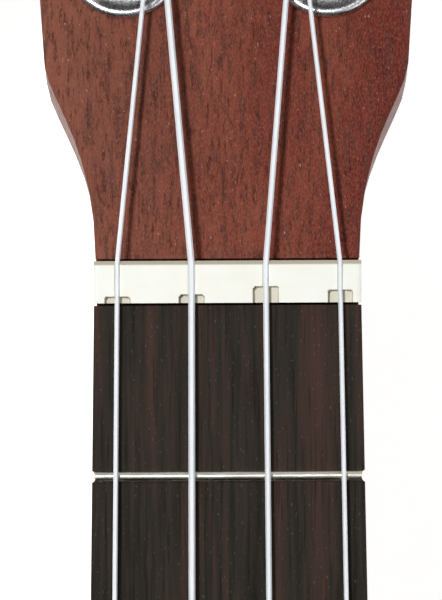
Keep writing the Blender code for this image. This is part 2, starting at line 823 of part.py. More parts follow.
def head_half_width(station):
    """Half the head's width at a station along its face, up to where the crown starts."""
    shoulder = HEAD_SHOULDER_STATION
    if station >= shoulder:
        return HEAD_SHOULDER_WIDTH / 2 + HEAD_FLARE * (station - shoulder)
    root = Vector((HEAD_ROOT_WIDTH / 2, 0))
    end = Vector((HEAD_SHOULDER_WIDTH / 2, shoulder))
    slope = Vector((HEAD_FLARE, 1)).normalized()
    points = interpolate_bezier(
        root,
        root + Vector((0, HEAD_ROOT_SWEEP)),
        end - slope * HEAD_SHOULDER_SWEEP,
        end,
        64,
    )
    for before, after in zip(points, points[1:]):
        if before.y <= station <= after.y:
            share = (station - before.y) / (after.y - before.y)
            return before.x + share * (after.x - before.x)
    return HEAD_ROOT_WIDTH / 2


def crown_stations():
    """(station, half width) points from the head's top corner round to its middle."""
    start_station = HEAD_LENGTH - HEAD_CROWN_RISE
    start = Vector((head_half_width(start_station), start_station))
    points = interpolate_bezier(
        start,
        start + Vector((HEAD_FLARE, 1)) * HEAD_CROWN_CORNER,
        Vector((0.72 * start.x, HEAD_LENGTH)),
        Vector((0, HEAD_LENGTH)),
        10,
    )
    return [(point.y, point.x) for point in points[:-1]]


def neck_section(half_width, depth, squareness, corner):
    """Section points (x, drop) from the bass edge round the back to the treble edge.
    Squareness 0 is a rounded neck and 1 a flat board with rounded back corners."""
    rounded_angles = (166, 150, 132, 112, 90, 68, 48, 30, 14)
    power = 2 / 2.25
    back = HEAD_BACK_ROUND
    step = 0.3 * back
    flat_side = [
        (-half_width, depth - back),
        (-half_width + step, depth - step),
        (-half_width + back, depth),
        (-half_width / 2, depth),
        (0, depth),
    ]
    flat = flat_side + [(-x, drop) for x, drop in flat_side[-2::-1]]
    points = [(-half_width + corner, 0), (-half_width, corner)]
    for degrees, (flat_x, flat_drop) in zip(rounded_angles, flat):
        angle = math.radians(degrees)
        reach = math.copysign(abs(math.cos(angle)) ** power, math.cos(angle))
        x = half_width * reach
        drop = corner + (depth - corner) * math.sin(angle) ** power
        points.append(
            (x + squareness * (flat_x - x), drop + squareness * (flat_drop - drop))
        )
    return points + [(half_width, corner), (half_width - corner, 0)]


def section_ring(top, tilt, *shape):
    """The section's points in space, hung from the top line and tilted with it."""
    down = Vector((0, -math.sin(tilt), -math.cos(tilt)))
    return [
        Vector((x, top[0], top[1])) + down * drop for x, drop in neck_section(*shape)
    ]


def neck_rings():
    """Sections from the body to the top of the head."""
    start = BODY_TOP_Y + GAP
    shaft_length = HEAD_Y - start
    blend_start = -0.014
    blend_length = 0.034
    crest = HEAD_FACE_Z - BODY_DEPTH
    rings = []
    heel_shares = (0.0, 0.10, 0.20, 0.28, 0.38, 0.50, 0.64, 0.80, 1.0)
    ys = [start + share * HEEL_LENGTH for share in heel_shares]
    ys.append((ys[-1] + HEAD_Y + blend_start) / 2)
    ys.append(HEAD_Y + blend_start)
    foot = HEEL_FOOT_LENGTH / HEEL_LENGTH
    for y in ys:
        along = (y - start) / shaft_length
        depth = NECK_DEPTH_AT_BODY + along * (NECK_DEPTH_AT_NUT - NECK_DEPTH_AT_BODY)
        share = max((y - start) / HEEL_LENGTH - foot, 0) / (1 - foot)
        heel = max(1 - share, 0) ** 3
        depth = crest + depth + heel * (BODY_DEPTH - depth)
        width = board_half_width(y)
        rings.append(
            section_ring((y, HEAD_FACE_Z), 0, width, depth, 0, HEAD_EDGE_ROUND)
        )
    slope = math.tan(HEAD_ANGLE)
    stations = [-0.007, 0.0004]
    stations += [HEAD_SHOULDER_STATION * share for share in (0.2, 0.36, 0.5, 0.62)]
    stations += [HEAD_SHOULDER_STATION * share for share in (0.72, 0.82, 0.91, 1.0)]
    widths = [(station, head_half_width(station)) for station in stations]
    for station, width in widths + crown_stations():
        share = ease((station - blend_start) / blend_length)
        down_face = max(station, 0)
        y = HEAD_Y + station * (math.cos(HEAD_ANGLE) if station > 0 else 1)
        z = HEAD_FACE_Z - down_face * math.cos(HEAD_ANGLE) * slope
        at_nut = crest + NECK_DEPTH_AT_NUT
        depth = at_nut + share * (HEAD_THICKNESS - at_nut)
        rings.append(
            section_ring(
                (y, z), share * HEAD_ANGLE, width, depth, share, HEAD_EDGE_ROUND
            )
        )
    return rings


def build_neck():
    neck = place("neck", loft_mesh("neck", neck_rings()), "mahogany")
    far = TOTAL_LENGTH
    bed = box_mesh("board_bed", (-far, -far, BODY_DEPTH), (far, HEAD_Y, far))
    combine(neck, place("board_bed", bed))
    for name, x, station in TUNERS:
        hole = cylinder_mesh(
            f"head_hole_{name}",
            BUSHING_BARREL_RADIUS + GAP,
            -2 * HEAD_THICKNESS,
            HEAD_THICKNESS,
            TURNED_FACETS,
        )
        cutter = place(
            f"head_hole_{name}", hole, parent=HEAD_FRAME, location=(x, station, 0)
        )
        combine(neck, cutter)
    smooth(neck)


# Tuning machines, each in its own frame: x across, y up the head, z out of its face

TUNERS = (
    ("g", -LOWER_POST_SPREAD / 2, LOWER_POST_STATION),
    ("c", -UPPER_POST_SPREAD / 2, UPPER_POST_STATION),
    ("e", UPPER_POST_SPREAD / 2, UPPER_POST_STATION),
    ("a", LOWER_POST_SPREAD / 2, LOWER_POST_STATION),
)


def build_washer(name, frame):
    inner = BUSHING_BARREL_RADIUS + GAP
    low = GAP
    high = GAP + WASHER_THICKNESS
    rim = WASHER_RADIUS - 0.0007
    dish = high - WASHER_DISH_DEPTH
    profile = [
        (inner, dish),
        (rim - WASHER_DISH_SLOPE, dish),
        (rim, high),
        (WASHER_RADIUS, high - WASHER_EDGE_BEVEL),
        (WASHER_RADIUS, low),
        (inner, low),
    ]
    mesh = profile_mesh(f"washer_{name}", profile, closed=True)
    washer = place(f"washer_{name}", mesh, "chrome", frame)
    turned_mesh_modifier(washer, WASHER_FACETS)


def build_bushing(name, frame):
    low = HEX_TOP - HEX_HEIGHT
    reach = HEX_ACROSS_FLATS / 2 / math.cos(math.pi / 6)
    mesh = cylinder_mesh(f"bushing_{name}", reach, low, HEX_TOP, 6)
    bushing = place(f"bushing_{name}", mesh, "chrome", frame)
    barrel = cylinder_mesh(
        f"bushing_barrel_{name}",
        BUSHING_BARREL_RADIUS,
        -BUSHING_BARREL_DEPTH,
        low + HEX_HEIGHT / 2,
        TURNED_FACETS,
    )
    combine(bushing, place(f"bushing_barrel_{name}", barrel, parent=frame), "UNION")
    bore = cylinder_mesh(
        f"bushing_bore_{name}",
        (POST_SHANK_RADIUS + GAP) / math.cos(math.pi / TURNED_FACETS),
        -2 * BUSHING_BARREL_DEPTH,
        2 * HEX_TOP,
        TURNED_FACETS,
    )
    combine(bushing, place(f"bushing_bore_{name}", bore, parent=frame))


def wheel_mesh(name, hand):
    """A worm wheel whose teeth slope with the worm's thread. A gap faces the worm."""
    root = WHEEL_PITCH_RADIUS - TOOTH_DEDENDUM
    tip = WHEEL_PITCH_RADIUS + TOOTH_ADDENDUM
    lead_slope = WORM_LEAD / (2 * math.pi * WORM_PITCH_RADIUS)
    twist = hand * WHEEL_WIDTH * lead_slope / WHEEL_PITCH_RADIUS
    rings = []
    for level in (-1, 1):
        ring = []
        for tooth in range(WHEEL_TEETH):
            middle = math.pi / 2 + (tooth + 0.5) * 2 * math.pi / WHEEL_TEETH
            middle += level * twist / 2
            corners = (
                (root, -TOOTH_ROOT_WIDTH),
                (tip, -TOOTH_TIP_WIDTH),
                (tip, TOOTH_TIP_WIDTH),
                (root, TOOTH_ROOT_WIDTH),
            )
            for radius, width in corners:
                angle = middle + width / 2 / radius
                x = radius * math.cos(angle)
                y = radius * math.sin(angle)
                ring.append((x, y, WORM_AXIS + level * WHEEL_WIDTH / 2))
        rings.append(ring)
    return loft_mesh(name, rings)


def build_post(name, frame, hand):
    """The post with its worm wheel, which a screw under it holds on."""
    hole = POST_HOLE_HEIGHT
    tip = hole + POST_TIP_ABOVE_HOLE
    collar_top = PLATE_BOTTOM - GAP
    wheel_low = WORM_AXIS - WHEEL_WIDTH / 2
    collar_radius = POST_SHANK_RADIUS + POST_COLLAR_WIDTH
    shoulder = HEX_TOP - POST_SHOULDER_SUNK
    profile = [
        (0, tip),
        (POST_RADIUS - POST_TIP_ROUND, tip - POST_TIP_CROWN),
        (POST_RADIUS, tip - POST_TIP_DROP),
        (POST_RADIUS, shoulder + POST_SHOULDER_SLOPE),
        (POST_SHANK_RADIUS, shoulder - POST_SHOULDER_SLOPE),
        (POST_SHANK_RADIUS, collar_top),
        (collar_radius, collar_top),
        (collar_radius, wheel_low - WHEEL_SCREW_EDGE),
        (collar_radius - WHEEL_SCREW_ROUND, wheel_low - WHEEL_SCREW_HEIGHT),
        (0, wheel_low - WHEEL_SCREW_HEIGHT),
    ]
    post = place(f"post_{name}", profile_mesh(f"post_{name}", profile), "chrome", frame)
    turned_mesh_modifier(post, TURNED_FACETS)
    wheel = place(f"wheel_{name}", wheel_mesh(f"wheel_{name}", hand), parent=frame)
    combine(post, wheel, "UNION")
    reach = 3 * POST_RADIUS
    string_hole = cylinder_mesh(
        f"post_hole_{name}", POST_HOLE_RADIUS, -reach, reach, 8, "X"
    )
    cutter = place(
        f"post_hole_{name}",
        string_hole,
        parent=frame,
        location=(0, 0, hole),
        rotation=(0, 0, hole_heading(hand)),
    )
    combine(post, cutter)


def thread_mesh(name, hand):
    """The worm's single thread, sunk a little into its core."""
    sunk = WORM_ROOT_RADIUS * math.cos(math.pi / BORE_FACETS) - THREAD_SUNK
    steps = WORM_TURNS * BORE_FACETS
    rings = []
    for step in range(steps + 1):
        turn = step / BORE_FACETS - WORM_TURNS / 2
        angle = math.pi + 2 * math.pi * turn
        x = hand * WORM_LEAD * turn
        corners = (
            (sunk, -WORM_BASE_WIDTH / 2),
            (WORM_OUTER_RADIUS, -WORM_CREST_WIDTH / 2),
            (WORM_OUTER_RADIUS, WORM_CREST_WIDTH / 2),
            (sunk, WORM_BASE_WIDTH / 2),
        )
        rings.append(
            [
                (x + dx, radius * math.cos(angle), radius * math.sin(angle))
                for radius, dx in corners
            ]
        )
    return loft_mesh(name, rings)


def button_outline(length):
    """A tuning button seen from the front: narrow at its shaft, broad and round outside."""
    grow = KNOB_EDGE_ROUND
    narrow = KNOB_NECK_WIDTH / 2 - grow
    wide = KNOB_WIDTH / 2 - grow
    start = grow
    end = length - grow
    side = interpolate_bezier(
        Vector((start, narrow)),
        Vector((start + 0.35 * length, narrow)),
        Vector((start + 0.30 * length, wide)),
        Vector((end - 0.30 * length, wide)),
        5,
    )
    nose = interpolate_bezier(
        Vector((end - 0.30 * length, wide)),
        Vector((end - 0.08 * length, wide)),
        Vector((end, 0.55 * wide)),
        Vector((end, 0)),
        5,
    )
    half = [(point.x, point.y) for point in side + nose[1:]]
    return half + [(x, -y) for x, y in half[-2::-1]]


def build_knob(name, frame, side, post_x):
    """The knob with its shaft and worm, in one piece on the worm's axis."""
    start = KNOB_START - abs(post_x)
    outline = [(side * (start + x), y) for x, y in button_outline(KNOB_LENGTH)]
    mesh = plate_mesh(f"knob_{name}", [outline], KNOB_THICKNESS, KNOB_EDGE_ROUND)
    knob = place(f"knob_{name}", mesh, "cream", frame)
    inner = WORM_HALF_LENGTH + GAP + LUG_THICKNESS
    low, high = sorted((-side * inner, side * (start + KNOB_LENGTH / 3)))
    shaft = cylinder_mesh(
        f"knob_shaft_{name}", KNOB_SHAFT_RADIUS, low, high, BORE_FACETS, "X"
    )
    combine(knob, place(f"knob_shaft_{name}", shaft, parent=frame), "UNION")
    core = cylinder_mesh(
        f"worm_core_{name}",
        WORM_ROOT_RADIUS,
        -WORM_HALF_LENGTH,
        WORM_HALF_LENGTH,
        BORE_FACETS,
        "X",
    )
    combine(knob, place(f"worm_core_{name}", core, parent=frame), "UNION")
    thread = thread_mesh(f"worm_thread_{name}", side)
    combine(knob, place(f"worm_thread_{name}", thread, parent=frame), "UNION")
    smooth(knob)


def build_plate(name, frame):
    """The base plate, with its lugs folded away from the head to carry the worm."""
    half = PLATE_WIDTH / 2
    top = GEAR_DISTANCE + PLATE_PAST_WORM
    outline = [
        (-half, -PLATE_BELOW_POST + half / 2),
        (-half / 2, -PLATE_BELOW_POST),
        (half / 2, -PLATE_BELOW_POST),
        (half, -PLATE_BELOW_POST + half / 2),
        (half, top - half / 2),
        (half / 2, top),
        (-half / 2, top),
        (-half, top - half / 2),
    ]
    bore = round_outline(POST_SHANK_RADIUS + GAP, TURNED_FACETS)
    screws = [
        round_outline(PLATE_SCREW_RADIUS, 8, (0, y))
        for y in (-PLATE_BELOW_POST + PLATE_SCREW_INSET, top - PLATE_SCREW_INSET)
    ]
    mesh = plate_mesh(f"plate_{name}", [outline, bore] + screws, PLATE_THICKNESS)
    middle = (PLATE_TOP + PLATE_BOTTOM) / 2
    plate = place(f"plate_{name}", mesh, "chrome", frame, location=(0, 0, middle))
    drop = PLATE_TOP - PLATE_THICKNESS / 2 - WORM_AXIS
    shape = [(LUG_ROUND, drop)] + arc((0, 0), LUG_ROUND, 0, -180, 6)
    shape.append((-LUG_ROUND, drop))
    hole = round_outline(KNOB_SHAFT_RADIUS + GAP, 8)
    for end, direction in (("inner", -1), ("outer", 1)):
        lug = plate_mesh(f"lug_{end}_{name}", [shape, hole], LUG_THICKNESS)
        x = direction * (WORM_HALF_LENGTH + GAP + LUG_THICKNESS / 2)
        helper = place(
            f"lug_{end}_{name}",
            lug,
            parent=frame,
            location=(x, GEAR_DISTANCE, WORM_AXIS),
            rotation=(math.pi / 2, 0, math.pi / 2),
        )
        combine(plate, helper, "UNION")


def build_tuners():
    for name, x, station in TUNERS:
        side = 1 if x > 0 else -1
        post_frame = add_empty(f"post_axis_{name}", HEAD_FRAME, (x, station, 0))
        knob_frame = add_empty(
            f"knob_axis_{name}", HEAD_FRAME, (x, station + GEAR_DISTANCE, WORM_AXIS)
        )
        build_washer(name, post_frame)
        build_bushing(name, post_frame)
        build_plate(name, post_frame)
        build_post(name, post_frame, side)
        build_knob(name, knob_frame, side, x)


# Strings, each one unbroken tube from its knot at the bridge to its end past the post


def head_point(x, station, height):
    """A point of the head's frame in the part's own frame."""
    return Vector(
        (
            x,
            HEAD_Y
            + station * math.cos(HEAD_ANGLE)
            + height * math.sin(HEAD_ANGLE),
            HEAD_FACE_Z
            - station * math.sin(HEAD_ANGLE)
            + height * math.cos(HEAD_ANGLE),
        )
    )


def hole_heading(side):
    """The direction in which a string leaves the hole in its post."""
    return POST_HOLE_HEADING if side < 0 else math.pi - POST_HOLE_HEADING


def nut_rear_point(index):
    radius = STRING_DIAMETERS[index] / 2
    z = BOARD_TOP_Z + STRING_ABOVE_BOARD_AT_NUT + radius
    return Vector((NUT_XS[index], NUT_Y + NUT_LENGTH - NUT_REAR_CHAMFER, z))


def winding_points(index):
    """Points of the winding in the head's frame, from where the string meets the post,
    through its hole, to its cut end."""
    _, post_x, station = TUNERS[index]
    side = 1 if post_x > 0 else -1
    radius = STRING_DIAMETERS[index] / 2
    reach = POST_RADIUS + GAP + radius
    nut_point = nut_rear_point(index)
    apart = Vector((nut_point.x - post_x, -station))
    # The string touches the post on the side that faces the middle of the head.
    facing = math.atan2(apart.y, apart.x)
    start = facing - side * math.acos(reach / apart.length)
    turn = -side
    heading = hole_heading(side)
    entry = heading + math.pi
    sweep = (turn * (entry - start)) % (2 * math.pi) + 2 * math.pi * FULL_WINDINGS
    low = HEX_TOP + GAP + radius
    rise = POST_HOLE_HEIGHT - WINDING_RISE_TO_HOLE - low
    count = round(sweep / (2 * math.pi) * POINTS_PER_WINDING)
    points = []
    for i in range(count + 1):
        share = i / count
        angle = start + turn * sweep * share
        last_half = 1 - (1 - share) * sweep / math.pi
        height = low + rise * share + WINDING_RISE_TO_HOLE * ease(last_half)
        points.append((reach * math.cos(angle), reach * math.sin(angle), height))
    # The bend into the hole is cut short by a string's width on each side.
    bend = 1.2 * radius
    last_x, last_y, _ = points.pop()
    inward = Vector((-last_x, -last_y)).normalized()
    corner = Vector((last_x, last_y))
    before = Vector(points[-1][:2])
    points[-1] = (*corner.lerp(before, 0.75), points[-1][2])
    points.append((*(corner + inward * bend), POST_HOLE_HEIGHT))
    points.append((*(inward * POST_RADIUS), POST_HOLE_HEIGHT))
    points.append((*(inward * (POST_RADIUS + STRING_TAIL)), POST_HOLE_HEIGHT))
    return [(post_x + x, station + y, height) for x, y, height in points]


def string_path(index):
    """(point, width factor) pairs from the knot to the end past the post."""
    radius = STRING_DIAMETERS[index] / 2
    x = SADDLE_XS[index]
    knot = KNOT_RADIUS / radius
    knot_y = BRIDGE_REAR_Y + KNOT_RADIUS + 2 * GAP
    low = BRIDGE_BOTTOM_Z + GAP
    top = BRIDGE_TOP_Z + GAP + radius
    slot_y = BRIDGE_REAR_Y + STRING_SLOT_LENGTH
    saddle_z = BOARD_TOP_Z + STRING_ABOVE_BOARD_AT_SADDLE + radius
    path = [
        (Vector((x, knot_y, low)), 1.6),
        (Vector((x, knot_y, low + KNOT_LENGTH / 4)), knot),
        (Vector((x, knot_y, low + 3 * KNOT_LENGTH / 4)), knot),
        (Vector((x, knot_y + radius / 2, low + KNOT_LENGTH)), 1),
        (Vector((x, slot_y - GAP - 2 * radius, top - 4 * radius)), 1),
        (Vector((x, slot_y - radius, top - radius)), 1),
        (Vector((x, slot_y + GAP, top)), 1),
        (Vector((x, SADDLE_Y - SADDLE_THICKNESS / 3, saddle_z - radius / 3)), 1),
        (Vector((x, SADDLE_Y + SADDLE_THICKNESS / 4, saddle_z)), 1),
    ]
    path.append((nut_rear_point(index) - Vector((0, NUT_LENGTH / 2, 0)), 1))
    path.append((nut_rear_point(index), 1))
    path += [(head_point(*point), 1) for point in winding_points(index)]
    return path


def least_gap(points, diameter):
    """The least gap between stretches of a string that are well apart along it."""
    lengths = [0.0]
    for before, after in zip(points, points[1:]):
        lengths.append(lengths[-1] + (after - before).length)
    least = math.inf
    for i, first in enumerate(points):
        for j in range(i + 1, len(points)):
            if lengths[j] - lengths[i] > 6 * diameter:
                least = min(least, (points[j] - first).length - diameter)
    return least


def build_strings():
    for index, name in enumerate(STRING_NAMES):
        diameter = STRING_DIAMETERS[index]
        path = string_path(index)
        curve = bpy.data.curves.new(f"string_{name}", "CURVE")
        curve.dimensions = "3D"
        curve.bevel_depth = diameter / 2
        curve.bevel_resolution = 1
        curve.use_fill_caps = True
        spline = curve.splines.new("POLY")
        spline.points.add(len(path) - 1)
        for point, (place_at, width) in zip(spline.points, path):
            point.co = (*place_at, 1)
            point.radius = width
        place(f"string_{name}", curve, "nylon")
        wound = [head_point(*point) for point in winding_points(index)]
        gap = least_gap(wound, diameter) * 1000
        print(f"string_{name}: least gap to itself on its post {gap:.2f} mm")


for old in list(bpy.data.objects):
    bpy.data.objects.remove(old)
PARTS = new_collection(MODEL_NAME)
CUTTERS = new_collection("cutters")
CUTTERS.hide_render = True
HEAD_FRAME = add_empty(
    "head_frame", location=(0, HEAD_Y, HEAD_FACE_Z), rotation=(-HEAD_ANGLE, 0, 0)
)
build_plates()
build_sides()
build_linings()
build_blocks()
build_braces()
build_bridge()
build_saddle()
build_fingerboard()
build_frets()
build_nut()
build_neck()
build_tuners()
build_strings()
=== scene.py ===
# %% [markdown]
# This lesson dresses a concert ukulele. The packed model is loaded first as a fixed
# frame: its solids stay where they are, and each gets a finish or a finer piece.

# %% Load the frame
import json
import math

import bmesh
import bpy
from mathutils import Matrix, Vector


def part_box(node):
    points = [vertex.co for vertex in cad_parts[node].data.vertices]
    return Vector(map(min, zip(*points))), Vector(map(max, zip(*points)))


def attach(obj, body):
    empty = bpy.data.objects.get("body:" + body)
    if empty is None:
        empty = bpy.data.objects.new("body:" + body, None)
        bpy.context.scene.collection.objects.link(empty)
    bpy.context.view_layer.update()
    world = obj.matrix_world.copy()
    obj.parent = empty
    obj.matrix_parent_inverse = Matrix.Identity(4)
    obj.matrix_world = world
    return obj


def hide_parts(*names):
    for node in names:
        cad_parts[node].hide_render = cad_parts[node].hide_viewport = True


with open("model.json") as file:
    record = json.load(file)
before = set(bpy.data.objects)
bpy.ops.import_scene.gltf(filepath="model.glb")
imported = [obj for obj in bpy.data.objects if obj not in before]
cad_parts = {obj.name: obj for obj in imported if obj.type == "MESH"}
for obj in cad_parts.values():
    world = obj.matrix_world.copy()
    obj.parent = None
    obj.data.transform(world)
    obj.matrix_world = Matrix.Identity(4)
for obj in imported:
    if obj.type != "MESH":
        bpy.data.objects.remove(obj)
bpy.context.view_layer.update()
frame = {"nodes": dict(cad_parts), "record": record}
print("nodes:", len(frame["nodes"]))

# %% [markdown]
# The photograph looks straight down on the nut, with the head above and the
# fingerboard below, so the camera stands over the nut and looks along -Z. It shows
# 74 mm of the instrument from top to bottom. The camera is rolled by a third of a
# degree, because the neck leans by that much in the picture.

# %% Camera
MM = 0.001
CAMERA_DISTANCE = 0.65
CAMERA_ASIDE = -0.82 * MM
CAMERA_AHEAD = 0.35 * MM
CAMERA_ROLL = math.radians(-0.29)
CAMERA_REACH = 20
SHOWN_LENGTH = 74.0 * MM
SENSOR = 36.0
nut_low, nut_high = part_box("nut")
board_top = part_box("fingerboard")[1].z
lens = bpy.data.cameras.new("camera")
lens.sensor_width = SENSOR
lens.lens = SENSOR * CAMERA_DISTANCE / SHOWN_LENGTH
lens.clip_end = CAMERA_REACH
camera = bpy.data.objects.new("camera", lens)
bpy.context.scene.collection.objects.link(camera)
camera.location = (CAMERA_ASIDE, nut_low.y + CAMERA_AHEAD, board_top + CAMERA_DISTANCE)
camera.rotation_euler = (0, 0, CAMERA_ROLL)
bpy.context.scene.camera = camera
print("lens:", round(lens.lens, 1), "mm")

# %% [markdown]
# The instrument lies on its back on a pale ground. One large square is enough for it,
# set a hair lower than the back so that the two faces don't flicker.

# %% Floor
FLOOR_HALF = 30
FLOOR_GAP = 0.5 * MM
floor_mesh = bpy.data.meshes.new("floor")
grid = bmesh.new()
bmesh.ops.create_grid(grid, x_segments=1, y_segments=1, size=FLOOR_HALF)
grid.to_mesh(floor_mesh)
grid.free()
floor = bpy.data.objects.new("floor", floor_mesh)
floor.location.z = -FLOOR_GAP
bpy.context.scene.collection.objects.link(floor)
print("floor reaches", max(corner.co.x for corner in floor_mesh.vertices), "m")

# %% [markdown]
# Every finish is a small program of shader nodes. This class wraps a socket, so that
# maths on values reads as a plain expression, with a number on either side of it.


# %% Sockets
class Socket:
    """A value in a node tree. Maths on it adds Math nodes."""

    def __init__(self, nodes, link):
        self.nodes = nodes
        self.link = link

    def maths(self, operation, *values):
        return self.nodes.node("Math", {"operation": operation}, dict(enumerate(values)))

    def __add__(self, other):
        return self.maths("ADD", self, other)

    def __sub__(self, other):
        return self.maths("SUBTRACT", self, other)

    def __rsub__(self, other):
        return self.maths("SUBTRACT", other, self)

    def __mul__(self, other):
        return self.maths("MULTIPLY", self, other)

    def __abs__(self):
        return self.maths("ABSOLUTE", self)

    __radd__ = __add__
    __rmul__ = __mul__


print("reflected operators:", [name for name in vars(Socket) if name.startswith("__r")])

# %% [markdown]
# One method adds a node of any type: its settings first, then the values or links of
# its sockets. A colour ramp's stops count as a setting.


# %% Nodes
class Nodes:
    """A node tree that is filled by one method."""

    def __init__(self, tree):
        self.tree = tree

    def put(self, slot, value):
        """Links a wrapped socket to a slot, or sets the slot's own value."""
        if isinstance(value, Socket):
            self.tree.links.new(value.link, slot)
        else:
            slot.default_value = value

    def node(self, kind, settings=None, values=None, output=0):
        made = self.tree.nodes.new("ShaderNode" + kind)
        for key, value in (settings or {}).items():
            if key == "stops":
                set_stops(made.color_ramp.elements, value)
            else:
                setattr(made, key, value)
        for key, value in (values or {}).items():
            self.put(made.inputs[key], value)
        return Socket(self, made.outputs[output])


def set_stops(elements, stops):
    """Gives a colour ramp its (level, colour) stops."""
    while len(elements) < len(stops):
        elements.new(0.5)
    for element, (level, colour) in zip(elements, stops):
        element.position = level
        element.color = colour


print("methods:", [name for name, part in vars(Nodes).items() if callable(part)])

# %% [markdown]
# A colour is picked as the eye sees it, on a scale up to 255. The shader counts light
# instead, which is why each channel goes through the screen's own curve here.


# %% Colours
def linear(level):
    """One channel of a picture as the shader's linear value."""
    share = level / 255
    return share / 12.92 if share <= 0.04045 else ((share + 0.055) / 1.055) ** 2.4


def srgb(red, green, blue):
    return (linear(red), linear(green), linear(blue), 1)


def grey(value):
    return (value, value, value, 1)


print("middle grey:", round(linear(128), 3))

# %% [markdown]
# A finish is a material with one Principled shader. Its patterns are noise on the
# places of the piece itself, so they stay with the wood when a piece moves. Noise that
# is squeezed along one axis gives streaks along it, and a range of its levels gives
# pores or flecks with soft edges.

# %% Finish
COAT_ROUGHNESS = 0.15


class Finish(Nodes):
    """A material with one Principled shader, built up by the methods here."""

    def __init__(self, name, roughness=0.5, metallic=0.0, coat=0.0, shine=0.5):
        self.material = bpy.data.materials.new(name)
        self.material.use_nodes = True
        super().__init__(self.material.node_tree)
        self.set(
            Roughness=roughness, Metallic=metallic, Coat_Weight=coat,
            Coat_Roughness=COAT_ROUGHNESS, Specular_IOR_Level=shine,
        )

    def set(self, **values):
        """Sets or links inputs of the shader, with _ for each space in their names."""
        inputs = self.tree.nodes["Principled BSDF"].inputs
        for key, value in values.items():
            self.put(inputs[key.replace("_", " ")], value)

    def where(self, stretch=(1, 1, 1)):
        """Places on the piece in metres, each axis times its stretch."""
        spot = self.node("TexCoord", output="Object")
        return self.node("Mapping", values={"Vector": spot, "Scale": stretch})

    def along(self, axis):
        """The place along one axis of the piece, in metres."""
        return self.node("SeparateXYZ", values={"Vector": self.where()}, output=axis)

    def noise(self, scale, detail=2.0, stretch=(1, 1, 1), rough=0.5):
        values = {"Vector": self.where(stretch), "Scale": scale, "Detail": detail}
        return self.node("TexNoise", values={**values, "Roughness": rough})

    def level(self, value, low, high):
        """0 at low, 1 at high, and a straight change between."""
        values = {"Value": value, "From Min": low, "From Max": high}
        return self.node("MapRange", {"clamp": True}, values)

    def patches(self, low, high, scale, detail=3, stretch=(1, 1, 1), rough=0.6):
        """Patches where noise is above a level, with edges as soft as the range."""
        return self.level(self.noise(scale, detail, stretch, rough), low, high)

    def ramp(self, value, *stops):
        """A colour for each level of a value. Stops are (level, colour) pairs."""
        return self.node("ValToRGB", {"stops": stops}, {0: value})

    def mix(self, share, first, second):
        """The second colour over the first by a share. The sockets are those for colours."""
        return self.node("Mix", {"data_type": "RGBA"}, {0: share, 6: first, 7: second}, output=2)

    def bump(self, height, depth, strength=1.0):
        values = {"Height": height, "Distance": depth, "Strength": strength}
        self.set(Normal=self.node("Bump", values=values))


print("finish methods:", sum(callable(part) for part in vars(Finish).values()))

# %% [markdown]
# A pale sky fills the shadows. It is brighter beyond the head than beyond the body,
# which gives each metal piece a light and a dark side. The dot product of the view's
# direction with the slope makes that change.

# %% Sky
SKY_SLOPE = (-0.05, 0.28, 0.02)
SKY_LEVEL = 0.21
world = bpy.data.worlds.new("studio")
world.use_nodes = True
sky = Nodes(world.node_tree)
way = sky.node("TexCoord", output="Generated")
tilt = sky.node("VectorMath", {"operation": "DOT_PRODUCT"}, {0: way, 1: SKY_SLOPE}, "Value")
lift = sky.node("Math", {"operation": "ADD", "use_clamp": True}, {0: tilt, 1: SKY_LEVEL})
background = world.node_tree.nodes["Background"].inputs
sky.put(background["Strength"], 1.0)
sky.put(background["Color"], lift)
bpy.context.scene.world = world
bpy.context.scene.view_settings.view_transform = "Standard"
print("sky nodes:", len(world.node_tree.nodes))

# %% [markdown]
# A small lamp high on the left throws narrow shadows of the strings to their right, as
# in the photograph. A wide one on the other side softens them. Disks are used because
# the edge of a shadow is as soft as the lamp is wide.

# %% Lamps
LAMPS = {
    "key": {"place": (-0.38, 0.45, 1.60), "aim": (0, 0.2, 0.05), "size": 0.18, "power": 17},
    "fill": {"place": (1.3, -0.4, 1.6), "aim": (0, 0.0, 0.05), "size": 1.2, "power": 5.6},
}


def soft_lamp(name, place, aim, size, power):
    data = bpy.data.lights.new(name, "AREA")
    data.shape = "DISK"
    data.size = size
    data.energy = power
    lamp = bpy.data.objects.new(name, data)
    lamp.location = place
    lamp.rotation_euler = (Vector(aim) - Vector(place)).to_track_quat("-Z", "Y").to_euler()
    lamp.visible_camera = False
    bpy.context.scene.collection.objects.link(lamp)


for name, values in LAMPS.items():
    soft_lamp(name, **values)
print("lamps:", list(LAMPS))

# %% [markdown]
# Mahogany has open pores: short dark dashes along the grain, with fine pale flecks between them,
# over broad soft bands. Each layer is noise with a stretch and a range of its own. On the head,
# painted shade makes the treble side a redder and deeper brown, and a painted sheen makes the
# bass side, towards the lamp, paler.

# %% Mahogany
GRAIN_SQUEEZE = 0.045
PORE_SQUEEZE = 0.028
LINE_SQUEEZE = 0.010
FLECK_STRETCH = (1, 0.3, 1)
WOOD_BUMP = 0.06 * MM
LINE_BROWN = srgb(66, 36, 32)
PORE_BROWN = srgb(52, 22, 18)
DUST_PINK = srgb(158, 102, 80)
FLECK_PINK = srgb(222, 180, 156)
TREBLE_PAINTED_SHADE = srgb(94, 18, 14)
BASS_PAINTED_SHEEN = srgb(158, 112, 90)


def squeezed(axis, share):
    """A stretch that draws noise out into streaks along one axis."""
    return tuple(share if name == axis else 1 for name in "XYZ")


def paint_side_light(finish, colour, treble_shade, bass_sheen=0.26):
    """Paints shade on the treble side, in a deeper red, and a sheen on the bass side. Places
    across are in metres.
    """
    across = finish.along("X")
    # Painted light: shade deepens the treble side to red, and a sheen pales the bass side.
    treble = finish.level(across, -0.020, 0.026)
    bass = finish.level(across, 0.006, -0.020)
    colour = finish.mix(treble * treble_shade, colour, TREBLE_PAINTED_SHADE)
    return finish.mix(bass * bass_sheen, colour, BASS_PAINTED_SHEEN)


